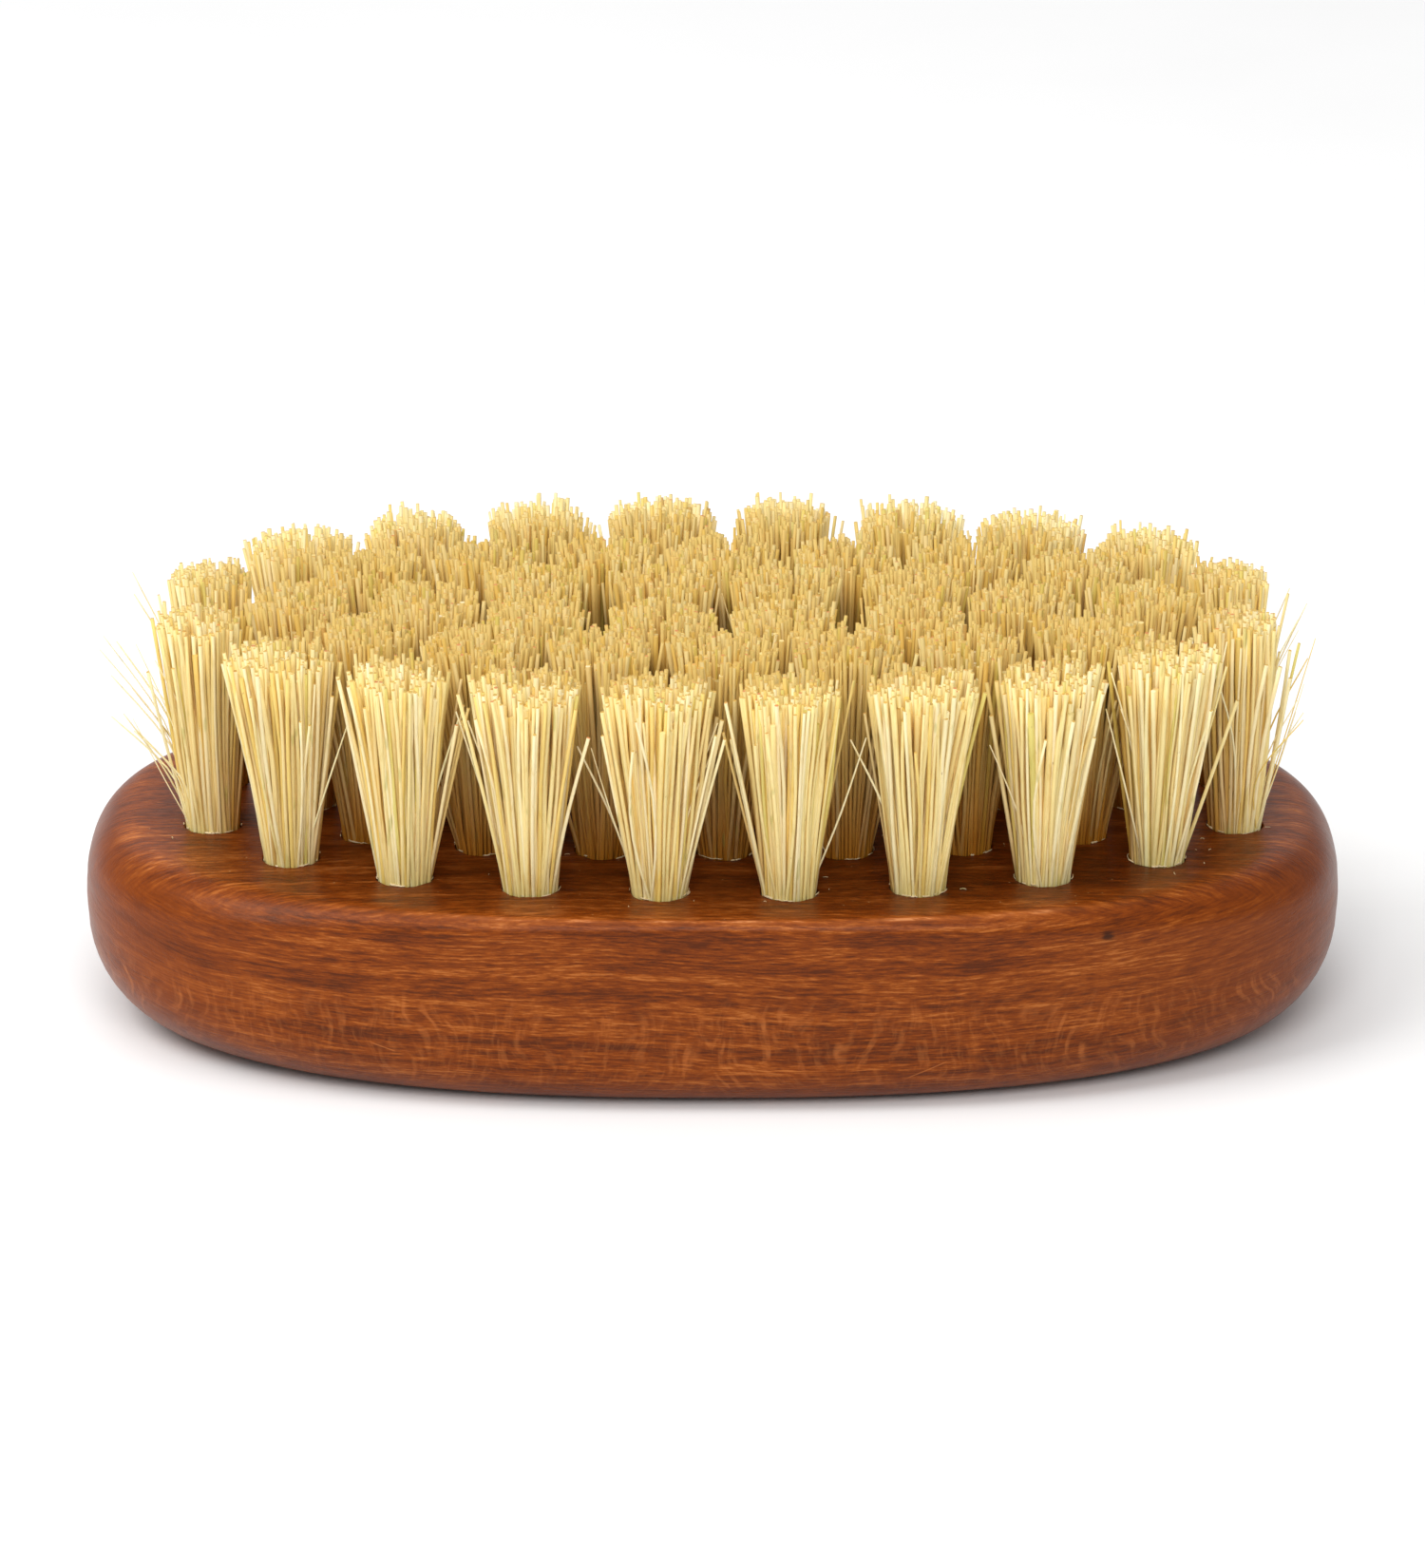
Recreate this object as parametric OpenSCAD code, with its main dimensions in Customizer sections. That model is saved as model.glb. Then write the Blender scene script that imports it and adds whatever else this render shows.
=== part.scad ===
// Oval beard brush: a one-piece wooden block with three rings of blind
// holes. Each hole holds one tuft of plant fibre, folded double over a small
// flat-wire anchor that bites into the wood at the foot of the hole.
// X is the long axis, Z is up (tufts up), and the flat back rests on Z = 0.

/* [Block] */
// Length of the oval block
block_l = 110; // [104:1:118]
// Width of the oval block
block_w = 58; // [56:1:62]
// Thickness of the block
block_t = 17.3; // [16:0.1:20]
// Fullness of the oval outline (2 is a plain ellipse)
oval_power = 2.6; // [2.3:0.05:2.8]
// Radius of the upper edge at the middle of the long sides
top_edge_side = 1.1; // [0.8:0.1:3]
// Radius of the upper edge at the two ends
top_edge_end = 5; // [2:0.1:5]
// Radius of the lower edge at the middle of the long sides
low_edge_side = 4; // [2:0.1:6]
// Radius of the lower edge at the two ends
low_edge_end = 9; // [6:0.1:10]

/* [Tuft rings] */
// Half length of the outer ring of holes
outer_a = 45.6; // [43:0.1:46]
// Half width of the outer ring of holes
outer_b = 21.6; // [20:0.1:22]
// Half length of the middle ring of holes
middle_a = 36.5; // [35:0.5:37.5]
// Half width of the middle ring of holes
middle_b = 11.8; // [11:0.1:12.5]
// Half length of the inner ring of holes
inner_a = 25.6; // [25:0.1:26]
// Half width of the inner ring of holes
inner_b = 4.6; // [4.3:0.1:5]
// How far the whole field of holes is off the block's centre, along X
field_shift = 1; // [-1.5:0.1:1.5]

/* [Tufts] */
// Diameter of the drilled holes
hole_d = 4.9; // [4.6:0.1:5.1]
// Depth of the drilled holes
hole_depth = 10; // [8:0.5:12]
// Radial room between a tuft's root and its hole
root_gap = 0.05; // [0.02:0.01:0.1]
// Height of the tufts above the wood
tuft_h = 19.4; // [15:0.1:22]
// Radius of a tuft at its trimmed top, where its neighbours leave it room
tuft_top_r = 4.6; // [3.5:0.05:4.8]
// Outward spread of the tuft tops along X, as a share of their place
lean_x = 0.012; // [0:0.002:0.03]
// Outward spread of the tuft tops along Y, as a share of their place
lean_y = 0.1; // [0.02:0.01:0.12]

/* [Anchors] */
// Length of the flat-wire anchors, wider than the hole so that they bite
anchor_l = 5.7; // [5.4:0.1:6]
// Height of the anchors
anchor_h = 1.9; // [1.5:0.1:2.4]
// Thickness of the anchors
anchor_t = 0.4; // [0.3:0.05:0.6]
// Thickness of the folded fibre under an anchor
fold_h = 1; // [0.6:0.1:1.5]

/* [Hidden] */
outline_n = 96;
edge_n_low = 7;
edge_n_top = 5;
ring_n = 360;
outer_count = 20;
middle_count = 16;
inner_count = 10;
tuft_count = outer_count + middle_count + inner_count;
floor_z = block_t - hole_depth;
root_r = hole_d / 2 - root_gap;
// The free fibre starts a little inside its root, so the two join cleanly.
sink = 0.6;
skirt_r = root_r - 0.2;
wood = [0.50, 0.22, 0.11];
fibre = [0.90, 0.80, 0.52];
steel = [0.62, 0.62, 0.64];

function two(i) = i < 10 ? str("0", i) : str(i);
function tuft_name(i) = str("tuft_", two(i + 1));

// A point of a superellipse with half axes a and b and power p.
function sgn_pow(v, e) = sign(v) * pow(abs(v), e);
function oval_point(a, b, p, t) = [a * sgn_pow(cos(t), 2 / p), b * sgn_pow(sin(t), 2 / p)];
// The outward normal there.
function oval_normal(a, b, p, q) =
    let (g = [sgn_pow(q.x / a, p - 1) / a, sgn_pow(q.y / b, p - 1) / b]) g / norm(g);

// Points evenly spaced along a superellipse, starting half a pitch from +X
// when start is 0.5 and on the +X axis when start is 0.
function oval_walk(a, b, p) = [for (i = [0 : ring_n]) oval_point(a, b, p, 360 * i / ring_n)];
function run_lengths(q) = [for (i = 0, s = 0; i < len(q); i = i + 1, s = i < len(q) ? s + norm(q[i] - q[i - 1]) : s) s];
function find_step(s, v, i = 0) = (i >= len(s) - 2 || s[i + 1] >= v) ? i : find_step(s, v, i + 1);
function even_points(a, b, p, count, start) =
    let (q = oval_walk(a, b, p), s = run_lengths(q), total = s[len(s) - 1])
    [for (k = [0 : count - 1])
        let (v = (k + start) * total / count, j = find_step(s, v), f = (v - s[j]) / (s[j + 1] - s[j]))
        q[j] + f * (q[j + 1] - q[j])];

// Where every tuft stands: the outer ring, then the middle, then the inner.
field = concat(
    even_points(outer_a, outer_b, 2.2, outer_count, 0.5),
    even_points(middle_a, middle_b, 2.6, middle_count, 0),
    even_points(inner_a, inner_b, 2.6, inner_count, 0));
function tuft_at(i) = [field[i].x + field_shift, field[i].y];
function top_at(i) = [tuft_at(i).x * (1 + lean_x), tuft_at(i).y * (1 + lean_y)];
// A tuft opens out until it meets its nearest neighbour half way.
function nearest_top(i) = min([for (j = [0 : tuft_count - 1]) if (j != i) norm(top_at(i) - top_at(j))]);
function top_r(i) = min(tuft_top_r, nearest_top(i) / 2 - 0.05);

// The edge radii grow smoothly from the long sides to the ends.
function edge_r(q, side, end) = side + (end - side) * pow(abs(q.x) / (block_l / 2), 2);

// One closed ring of the block's skin.
function skin_ring(j) = [for (i = [0 : outline_n - 1])
    let (q = oval_point(block_l / 2, block_w / 2, oval_power, 360 * (i + 0.5) / outline_n),
         n = oval_normal(block_l / 2, block_w / 2, oval_power, q),
         low = edge_r(q, low_edge_side, low_edge_end),
         top = edge_r(q, top_edge_side, top_edge_end),
         t = j <= edge_n_low ? 90 * j / edge_n_low : 90 * (j - edge_n_low - 1) / edge_n_top,
         inset = j <= edge_n_low ? low * (1 - sin(t)) : top * (1 - cos(t)),
         z = j <= edge_n_low ? low * (1 - cos(t)) : block_t - top * (1 - sin(t)))
    [q.x - n.x * inset, q.y - n.y * inset, z]];

module block_blank() {
    rings = edge_n_low + edge_n_top + 2;
    points = [for (j = [0 : rings - 1]) each skin_ring(j)];
    sides = [for (j = [0 : rings - 2]) for (i = [0 : outline_n - 1])
        let (a = j * outline_n + i, b = j * outline_n + (i + 1) % outline_n)
        each [[a, b + outline_n, b], [a, a + outline_n, b + outline_n]]];
    bottom = [[for (i = [0 : outline_n - 1]) i]];
    top = [[for (i = [outline_n - 1 : -1 : 0]) (rings - 1) * outline_n + i]];
    polyhedron(points = points, faces = concat(bottom, sides, top), convexity = 4);
}

module anchor_plate() {
    translate([-anchor_t / 2, -anchor_l / 2, floor_z + fold_h])
        cube([anchor_t, anchor_l, anchor_h]);
}

module block() {
    color(wood)
    difference() {
        block_blank();
        for (i = [0 : tuft_count - 1]) translate([tuft_at(i).x, tuft_at(i).y, 0]) {
            translate([0, 0, floor_z]) cylinder(d = hole_d, h = hole_depth + 1, $fn = 40);
            anchor_plate();
        }
    }
}

module anchors() {
    color(steel)
    for (i = [0 : tuft_count - 1]) translate([tuft_at(i).x, tuft_at(i).y, 0]) anchor_plate();
}

// One tuft: a root that fills its hole, slotted for the anchor, and the
// free fibre, which opens out from the wood and leans a little outward.
module tuft(i) {
    p = tuft_at(i);
    shift = [p.x * lean_x, p.y * lean_y];
    tilt = atan2(norm(shift), tuft_h);
    turn = atan2(shift.y, shift.x);
    color(fibre)
    translate([p.x, p.y, 0]) {
        difference() {
            translate([0, 0, floor_z]) cylinder(r = root_r, h = hole_depth, $fn = 40);
            anchor_plate();
        }
        translate([0, 0, block_t])
            rotate([0, 0, turn]) rotate([0, tilt, 0]) translate([0, 0, -sink])
                cylinder(r1 = skirt_r, r2 = top_r(i), h = tuft_h + sink, $fn = 40);
    }
}

block();
anchors();
for (i = [0 : tuft_count - 1]) tuft(i);
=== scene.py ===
import bpy, bmesh, math
import numpy as np
from mathutils import Vector, Matrix
from mathutils.geometry import delaunay_2d_cdt


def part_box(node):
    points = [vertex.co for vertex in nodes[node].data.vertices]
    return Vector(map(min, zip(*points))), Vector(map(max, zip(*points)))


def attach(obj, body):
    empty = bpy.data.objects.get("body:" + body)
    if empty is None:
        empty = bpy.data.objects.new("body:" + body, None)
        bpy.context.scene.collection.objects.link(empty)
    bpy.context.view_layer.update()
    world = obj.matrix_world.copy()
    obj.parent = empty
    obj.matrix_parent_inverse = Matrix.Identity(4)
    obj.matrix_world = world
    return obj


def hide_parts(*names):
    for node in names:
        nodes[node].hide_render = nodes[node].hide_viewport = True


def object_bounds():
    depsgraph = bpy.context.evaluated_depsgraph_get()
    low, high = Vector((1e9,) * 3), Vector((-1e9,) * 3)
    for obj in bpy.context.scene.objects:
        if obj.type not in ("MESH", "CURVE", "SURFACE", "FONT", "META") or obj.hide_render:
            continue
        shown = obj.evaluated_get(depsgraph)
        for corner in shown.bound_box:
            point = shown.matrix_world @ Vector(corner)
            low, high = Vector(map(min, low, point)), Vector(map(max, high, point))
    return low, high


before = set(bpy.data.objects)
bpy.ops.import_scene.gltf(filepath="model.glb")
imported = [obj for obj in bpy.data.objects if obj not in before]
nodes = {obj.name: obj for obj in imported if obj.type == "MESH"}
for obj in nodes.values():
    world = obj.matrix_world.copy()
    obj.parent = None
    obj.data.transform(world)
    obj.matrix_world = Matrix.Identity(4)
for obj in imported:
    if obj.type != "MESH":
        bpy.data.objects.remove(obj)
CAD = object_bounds()
scene = bpy.context.scene
MM = 0.001

# ---------------------------------------------------------------- helpers


def lin(r, g, b):
    """An sRGB colour given as 0-255 values, in linear light."""
    out = []
    for c in (r, g, b):
        c = c / 255.0
        out.append(c / 12.92 if c <= 0.04045 else ((c + 0.055) / 1.055) ** 2.4)
    return out


def new_object(name, mesh):
    o = bpy.data.objects.new(name, mesh)
    scene.collection.objects.link(o)
    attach(o, "root")
    return o


class Nodes:
    """A small wrapper that keeps the node-tree code short."""

    def __init__(self, name):
        self.mat = bpy.data.materials.new(name)
        self.mat.use_nodes = True
        self.t = self.mat.node_tree
        self.t.nodes.clear()
        self.out = self.t.nodes.new("ShaderNodeOutputMaterial")
        self.bsdf = self.t.nodes.new("ShaderNodeBsdfPrincipled")
        self.t.links.new(self.bsdf.outputs[0], self.out.inputs["Surface"])

    def put(self, socket, value):
        if isinstance(value, bpy.types.NodeSocket):
            self.t.links.new(value, socket)
        elif isinstance(value, (tuple, list)) and len(value) == 3 and socket.type == "RGBA":
            socket.default_value = (*value, 1.0)
        else:
            socket.default_value = value

    def math(self, op, a, b=None, c=None, clamp=False):
        n = self.t.nodes.new("ShaderNodeMath")
        n.operation = op
        n.use_clamp = clamp
        for i, v in enumerate((a, b, c)):
            if v is not None:
                self.put(n.inputs[i], v)
        return n.outputs[0]

    def vmath(self, op, a, b=None):
        n = self.t.nodes.new("ShaderNodeVectorMath")
        n.operation = op
        self.put(n.inputs[0], a)
        if b is not None:
            self.put(n.inputs[1], b)
        return n.outputs["Value"] if op in ("LENGTH", "DOT_PRODUCT", "DISTANCE") else n.outputs[0]

    def coords(self):
        """Object coordinates in millimetres."""
        n = self.t.nodes.new("ShaderNodeTexCoord")
        return self.vmath("MULTIPLY", n.outputs["Object"], (1000.0, 1000.0, 1000.0))

    def split(self, v):
        n = self.t.nodes.new("ShaderNodeSeparateXYZ")
        self.put(n.inputs[0], v)
        return n.outputs[0], n.outputs[1], n.outputs[2]

    def join(self, x, y, z):
        n = self.t.nodes.new("ShaderNodeCombineXYZ")
        for i, v in enumerate((x, y, z)):
            self.put(n.inputs[i], v)
        return n.outputs[0]

    def noise(self, vec, scale=1.0, detail=2.0, rough=0.5, distortion=0.0):
        n = self.t.nodes.new("ShaderNodeTexNoise")
        self.put(n.inputs["Vector"], vec)
        n.inputs["Scale"].default_value = scale
        n.inputs["Detail"].default_value = detail
        n.inputs["Roughness"].default_value = rough
        n.inputs["Distortion"].default_value = distortion
        return n.outputs["Fac"]

    def voronoi(self, vec, scale=1.0):
        n = self.t.nodes.new("ShaderNodeTexVoronoi")
        self.put(n.inputs["Vector"], vec)
        n.inputs["Scale"].default_value = scale
        return n.outputs["Distance"], n.outputs["Color"]

    def smooth(self, v, lo, hi):
        """0 below lo, 1 above hi, smooth between."""
        n = self.t.nodes.new("ShaderNodeMapRange")
        n.interpolation_type = "SMOOTHSTEP"
        self.put(n.inputs["Value"], v)
        n.inputs["From Min"].default_value = lo
        n.inputs["From Max"].default_value = hi
        return n.outputs["Result"]

    def ramp(self, v, stops):
        n = self.t.nodes.new("ShaderNodeValToRGB")
        self.put(n.inputs[0], v)
        e = n.color_ramp.elements
        while len(e) < len(stops):
            e.new(0.5)
        for i, (p, c) in enumerate(stops):
            e[i].position = p
            e[i].color = (*c, 1.0)
        return n.outputs["Color"]

    def mix(self, fac, a, b, mode="MIX"):
        n = self.t.nodes.new("ShaderNodeMix")
        n.data_type = "RGBA"
        n.blend_type = mode
        self.put(n.inputs[0], fac)
        self.put(n.inputs[6], a)
        self.put(n.inputs[7], b)
        return n.outputs[2]

    def attr(self, name, what="Color"):
        n = self.t.nodes.new("ShaderNodeAttribute")
        n.attribute_name = name
        return n.outputs[what]

    def bump(self, height, strength, distance_mm, normal=None):
        n = self.t.nodes.new("ShaderNodeBump")
        self.put(n.inputs["Height"], height)
        n.inputs["Strength"].default_value = strength
        n.inputs["Distance"].default_value = distance_mm * MM
        if normal is not None:
            self.put(n.inputs["Normal"], normal)
        return n.outputs[0]


# ---------------------------------------------------------------- block size from the CAD

lo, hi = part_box("block")
HALF_L = (hi.x - lo.x) / 2
HALF_W = (hi.y - lo.y) / 2
TOP = hi.z
POWER = 2.6
TOP_SIDE, TOP_END = 1.1 * MM, 5.0 * MM
LOW_SIDE, LOW_END = 4.0 * MM, 9.0 * MM
HOLE_R = 2.45 * MM


class Tuft:
    pass


tufts = []
for name in sorted(n for n in nodes if n.startswith("tuft_")):
    co = np.array([v.co[:] for v in nodes[name].data.vertices])
    co = np.unique(np.round(co, 7), axis=0)
    t = Tuft()
    t.name = name
    t.i = int(name.split("_")[1])
    foot = co[co[:, 2] < co[:, 2].min() + 0.2 * MM]
    ring = foot[np.hypot(*(foot[:, :2] - foot[:, :2].mean(0)).T) > 1.5 * MM]
    t.base = np.array([(ring[:, 0].min() + ring[:, 0].max()) / 2, (ring[:, 1].min() + ring[:, 1].max()) / 2])
    t.root_r = (ring[:, 0].max() - ring[:, 0].min()) / 2
    cap = co[co[:, 2] > co[:, 2].max() - 1.2 * MM]
    t.top = np.array([(cap[:, 0].min() + cap[:, 0].max()) / 2, (cap[:, 1].min() + cap[:, 1].max()) / 2])
    t.top_z = cap[:, 2].mean()
    t.top_r = (cap[:, 1].max() - cap[:, 1].min()) / 2
    t.wide, t.pull = {1: (3.25, 0.8), 20: (3.25, 0.8), 10: (3.8, 0.0), 11: (3.8, 0.0)}.get(t.i, (4.6, 0.0))
    tufts.append(t)

FIELD_X = (min(t.base[0] for t in tufts) + max(t.base[0] for t in tufts)) / 2

# ---------------------------------------------------------------- materials


def wood_material():
    m = Nodes("stained_wood")
    p = m.coords()
    x, y, z = m.split(p)
    # Slow wander of the grain, so no line is straight.
    w1 = m.noise(m.join(m.math("MULTIPLY", x, 0.020), m.math("MULTIPLY", y, 0.05), m.math("MULTIPLY", z, 0.05)), 1.0, 2.0)
    w2 = m.noise(m.join(m.math("MULTIPLY", x, 0.055), m.math("MULTIPLY", y, 0.16), m.math("MULTIPLY", z, 0.16)), 1.0, 2.0)
    wander = m.math("ADD", m.math("MULTIPLY", m.math("SUBTRACT", w1, 0.5), 4.0), m.math("MULTIPLY", m.math("SUBTRACT", w2, 0.5), 0.45))
    g = m.t.nodes.new("ShaderNodeNewGeometry")
    nx, ny, nz = m.split(g.outputs["Normal"])
    # Growth rings: nearly flat sheets on the sides; on the two broad faces
    # they are cut along, so there the grain runs straight across Y.
    tip = m.math("POWER", m.math("ABSOLUTE", nx), 2.0)
    broad = m.smooth(m.math("ADD", m.math("ABSOLUTE", nz), m.math("MULTIPLY", tip, 0.55)), 0.62, 0.92)
    q_side = m.math("SUBTRACT", m.math("MULTIPLY", z, 0.95), m.math("MULTIPLY", y, 0.13))
    q_side = m.math("ADD", q_side, wander)
    q_face = m.math("ADD", m.math("MULTIPLY", y, 0.66), wander)
    s = m.math("ADD", m.math("MULTIPLY", y, 0.06), m.math("MULTIPLY", z, 0.10))

    def grain(kx, kq, ks, detail, rough):
        """Noise drawn out along X, read for the sides and for the faces."""
        a, b = (m.noise(m.join(m.math("MULTIPLY", x, kx), m.math("MULTIPLY", q, kq), m.math("MULTIPLY", s, ks)), 1.0, detail, rough)
                for q in (q_side, q_face))
        return m.math("ADD", a, m.math("MULTIPLY", m.math("SUBTRACT", b, a), broad))

    rings = grain(0.006, 0.62, 0.05, 3.0, 0.62)
    # Fibre streaks at three scales, long in X and thin across.
    f1 = grain(0.055, 1.9, 1.2, 3.0, 0.6)
    f2 = grain(0.19, 3.4, 3.2, 3.0, 0.6)
    f3 = grain(0.55, 5.6, 6.0, 3.0, 0.68)
    # Patchy uptake of the stain.
    patch = m.noise(m.join(m.math("MULTIPLY", x, 0.085), m.math("MULTIPLY", y, 0.16), m.math("MULTIPLY", z, 0.2)), 1.0, 3.0, 0.55)
    v = m.math("MULTIPLY", m.math("SUBTRACT", rings, 0.5), 0.85)
    v = m.math("ADD", v, m.math("MULTIPLY", m.math("SUBTRACT", f1, 0.5), 0.50))
    v = m.math("ADD", v, m.math("MULTIPLY", m.math("SUBTRACT", f2, 0.5), 0.60))
    v = m.math("ADD", v, m.math("MULTIPLY", m.math("SUBTRACT", f3, 0.5), 1.30))
    v = m.math("ADD", v, m.math("MULTIPLY", m.math("SUBTRACT", patch, 0.5), 0.62))
    # The rounded ends show the grain end on, so it is softer there.
    soft = m.math("SUBTRACT", 1.0, m.math("MULTIPLY", m.smooth(m.math("ABSOLUTE", nx), 0.15, 0.75), 0.60))
    v = m.math("MULTIPLY", v, m.math("MULTIPLY", soft, 1.35))
    v = m.math("ADD", v, 0.465, clamp=True)
    col = m.ramp(v, [
        (0.10, WOOD[0]), (0.34, WOOD[1]), (0.52, WOOD[2]), (0.70, WOOD[3]), (0.92, WOOD[4])])
    # Ray flecks: pale curved strokes that cross the grain, low on the sides.
    bow = m.math("MULTIPLY", m.math("POWER", m.math("ABSOLUTE", m.math("SUBTRACT", z, 7.0)), 2.0), 0.035)
    wob = m.math("MULTIPLY", m.math("SUBTRACT", m.noise(m.vmath("MULTIPLY", p, (0.10, 0.10, 0.10)), 1.0, 2.0), 0.5), 9.0)
    wob2 = m.math("MULTIPLY", m.math("SUBTRACT", m.noise(m.vmath("MULTIPLY", p, (0.5, 0.5, 0.5)), 1.0, 2.0), 0.5), 0.7)
    side_run = m.math("SUBTRACT", m.math("ABSOLUTE", x), bow)
    phase = m.math("ADD", m.math("ADD", side_run, wob), wob2)
    line = m.math("ABSOLUTE", m.math("SINE", m.math("MULTIPLY", phase, 2.3)))
    line = m.smooth(line, 0.80, 1.0)
    gate = m.smooth(m.noise(m.join(m.math("MULTIPLY", x, 0.42), m.math("MULTIPLY", y, 0.42), m.math("MULTIPLY", z, 0.30)), 1.0, 2.0, 0.6), 0.46, 0.68)
    field = m.smooth(m.noise(m.vmath("MULTIPLY", p, (0.045, 0.06, 0.06)), 1.0, 2.0, 0.5), 0.42, 0.60)
    lowside = m.math("MULTIPLY", m.smooth(z, 0.5, 2.5), m.math("SUBTRACT", 1.0, m.smooth(z, 7.5, 11.5)))
    fleck = m.math("MULTIPLY", m.math("MULTIPLY", line, gate), m.math("MULTIPLY", lowside, field))
    col = m.mix(m.math("MULTIPLY", fleck, 0.34), col, WOOD_FLECK)
    # Fine ripple across the grain, like the figure of beech.
    ripple = m.noise(m.join(m.math("MULTIPLY", phase, 1.7), m.math("MULTIPLY", y, 0.5), m.math("MULTIPLY", z, 0.5)), 1.0, 2.0, 0.6)
    rip = m.math("MULTIPLY", m.smooth(ripple, 0.45, 0.75), m.math("MULTIPLY", lowside, 0.20))
    col = m.mix(rip, col, WOOD_FLECK)
    # The short dark pores of the wood.
    pore = grain(0.85, 7.0, 5.0, 1.0, 0.5)
    pore = m.smooth(pore, 0.63, 0.74)
    col = m.mix(m.math("MULTIPLY", pore, 0.34), col, WOOD[0])
    # Fine grain: pale dashes and dark dots a few tenths of a millimetre long.
    dash = grain(1.3, 6.0, 5.0, 2.0, 0.65)
    col = m.mix(m.math("MULTIPLY", m.math("MULTIPLY", m.smooth(dash, 0.55, 0.72), 0.36), soft), col, m.mix(1.0, col, (1.45, 1.50, 1.70), "MULTIPLY"))
    col = m.mix(m.math("MULTIPLY", m.math("MULTIPLY", m.math("SUBTRACT", 1.0, m.smooth(dash, 0.28, 0.42)), 0.50), soft), col, m.mix(1.0, col, (0.60, 0.55, 0.50), "MULTIPLY"))
    # One small pin knot high on the front.
    dk = m.vmath("LENGTH", m.vmath("MULTIPLY", m.vmath("SUBTRACT", p, KNOT), (0.8, 0.25, 1.15)))
    knot = m.math("SUBTRACT", 1.0, m.smooth(m.math("ADD", dk, m.math("MULTIPLY", m.math("SUBTRACT", f2, 0.5), 0.7)), 0.18, 0.62))
    halo = m.math("SUBTRACT", 1.0, m.smooth(dk, 0.5, 2.2))
    col = m.mix(m.math("MULTIPLY", halo, 0.22), col, WOOD[0])
    col = m.mix(m.math("MULTIPLY", knot, 0.86), col, lin(38, 17, 9))
    # Two faint scratches through the lacquer.
    for (sx, sz, ang, half) in SCRATCHES:
        c, sn = math.cos(ang), math.sin(ang)
        dx, dz = m.math("SUBTRACT", x, sx), m.math("SUBTRACT", z, sz)
        along = m.math("ADD", m.math("MULTIPLY", dx, c), m.math("MULTIPLY", dz, sn))
        across = m.math("ABSOLUTE", m.math("SUBTRACT", m.math("MULTIPLY", dz, c), m.math("MULTIPLY", dx, sn)))
        inside = m.math("MULTIPLY", m.math("SUBTRACT", 1.0, m.smooth(across, 0.03, 0.075)), m.math("SUBTRACT", 1.0, m.smooth(m.math("ABSOLUTE", along), half * 0.7, half)))
        front = m.math("SUBTRACT", 1.0, m.smooth(y, -26.0, -20.0))
        col = m.mix(m.math("MULTIPLY", m.math("MULTIPLY", inside, front), 0.42), col, WOOD_FLECK)
    # The stain soaks into the end grain. The faces that look down are darkened as painted shade.
    endg = m.smooth(m.math("ABSOLUTE", nx), 0.55, 1.0)
    painted_underside_shade = m.smooth(m.math("MULTIPLY", nz, -1.0), 0.05, 0.75)
    col = m.mix(m.math("MULTIPLY", endg, 0.16), col, WOOD[0])
    # Painted shade on the faces that look down.
    col = m.mix(m.math("MULTIPLY", painted_underside_shade, 0.30), col, WOOD[0])
    # Painted shade: the face between the tufts is darkened, where the tufts shade it.
    inside = m.math("ADD", *(m.math("POWER", m.math("ABSOLUTE", m.math("MULTIPLY", c, 1 / a)), POWER)
                             for c, a in ((m.math("SUBTRACT", x, 0.5), 47.5), (y, 26.6))))
    painted_field_shade = m.math("MULTIPLY", m.smooth(nz, 0.90, 0.995), m.math("SUBTRACT", 1.0, m.smooth(inside, 0.84, 1.22)))
    col = m.mix(m.math("MULTIPLY", painted_field_shade, 0.90), col, m.mix(1.0, col, (0.64, 0.64, 0.68), "MULTIPLY"))
    # Painted sheen: the upward faces beyond the tuft field, back from the front edge, are lightened.
    painted_end_sheen = m.math("MULTIPLY", m.math("MULTIPLY", m.smooth(nz, 0.80, 0.98), m.smooth(inside, 1.0, 1.3)), m.smooth(y, -20.0, -9.0))
    col = m.mix(painted_end_sheen, col, m.mix(1.0, col, (1.32, 1.40, 1.45), "MULTIPLY"))
    # The front of the top roundover is painted paler in a narrow band: partly rubbed stain, partly painted highlight.
    # The brighter streaks are painted highlight.
    arris = m.attr("arris", "Fac")
    rim_patch = m.noise(m.join(m.math("MULTIPLY", x, 0.11), m.math("MULTIPLY", y, 0.2), m.math("MULTIPLY", z, 0.2)), 1.0, 4.0, 0.7)
    arris = m.math("MULTIPLY", arris, m.math("SUBTRACT", 1.0, m.smooth(m.math("ABSOLUTE", x), 22.0, 44.0)))
    rub_and_highlight = m.math("MULTIPLY", m.smooth(arris, 0.05, 0.9), m.math("ADD", 0.25, m.math("MULTIPLY", m.smooth(rim_patch, 0.40, 0.62), 0.75)))
    col = m.mix(m.math("MULTIPLY", rub_and_highlight, 0.42), col, lin(196, 112, 58))
    # Painted highlight: brighter streaks in the middle of the band.
    painted_rim_highlight = m.math("MULTIPLY", m.smooth(arris, 0.5, 0.95), m.smooth(m.math("ADD", rim_patch, m.math("MULTIPLY", m.math("SUBTRACT", f3, 0.5), 0.5)), 0.52, 0.64))
    col = m.mix(m.math("MULTIPLY", painted_rim_highlight, 0.44), col, lin(226, 158, 104))
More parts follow.
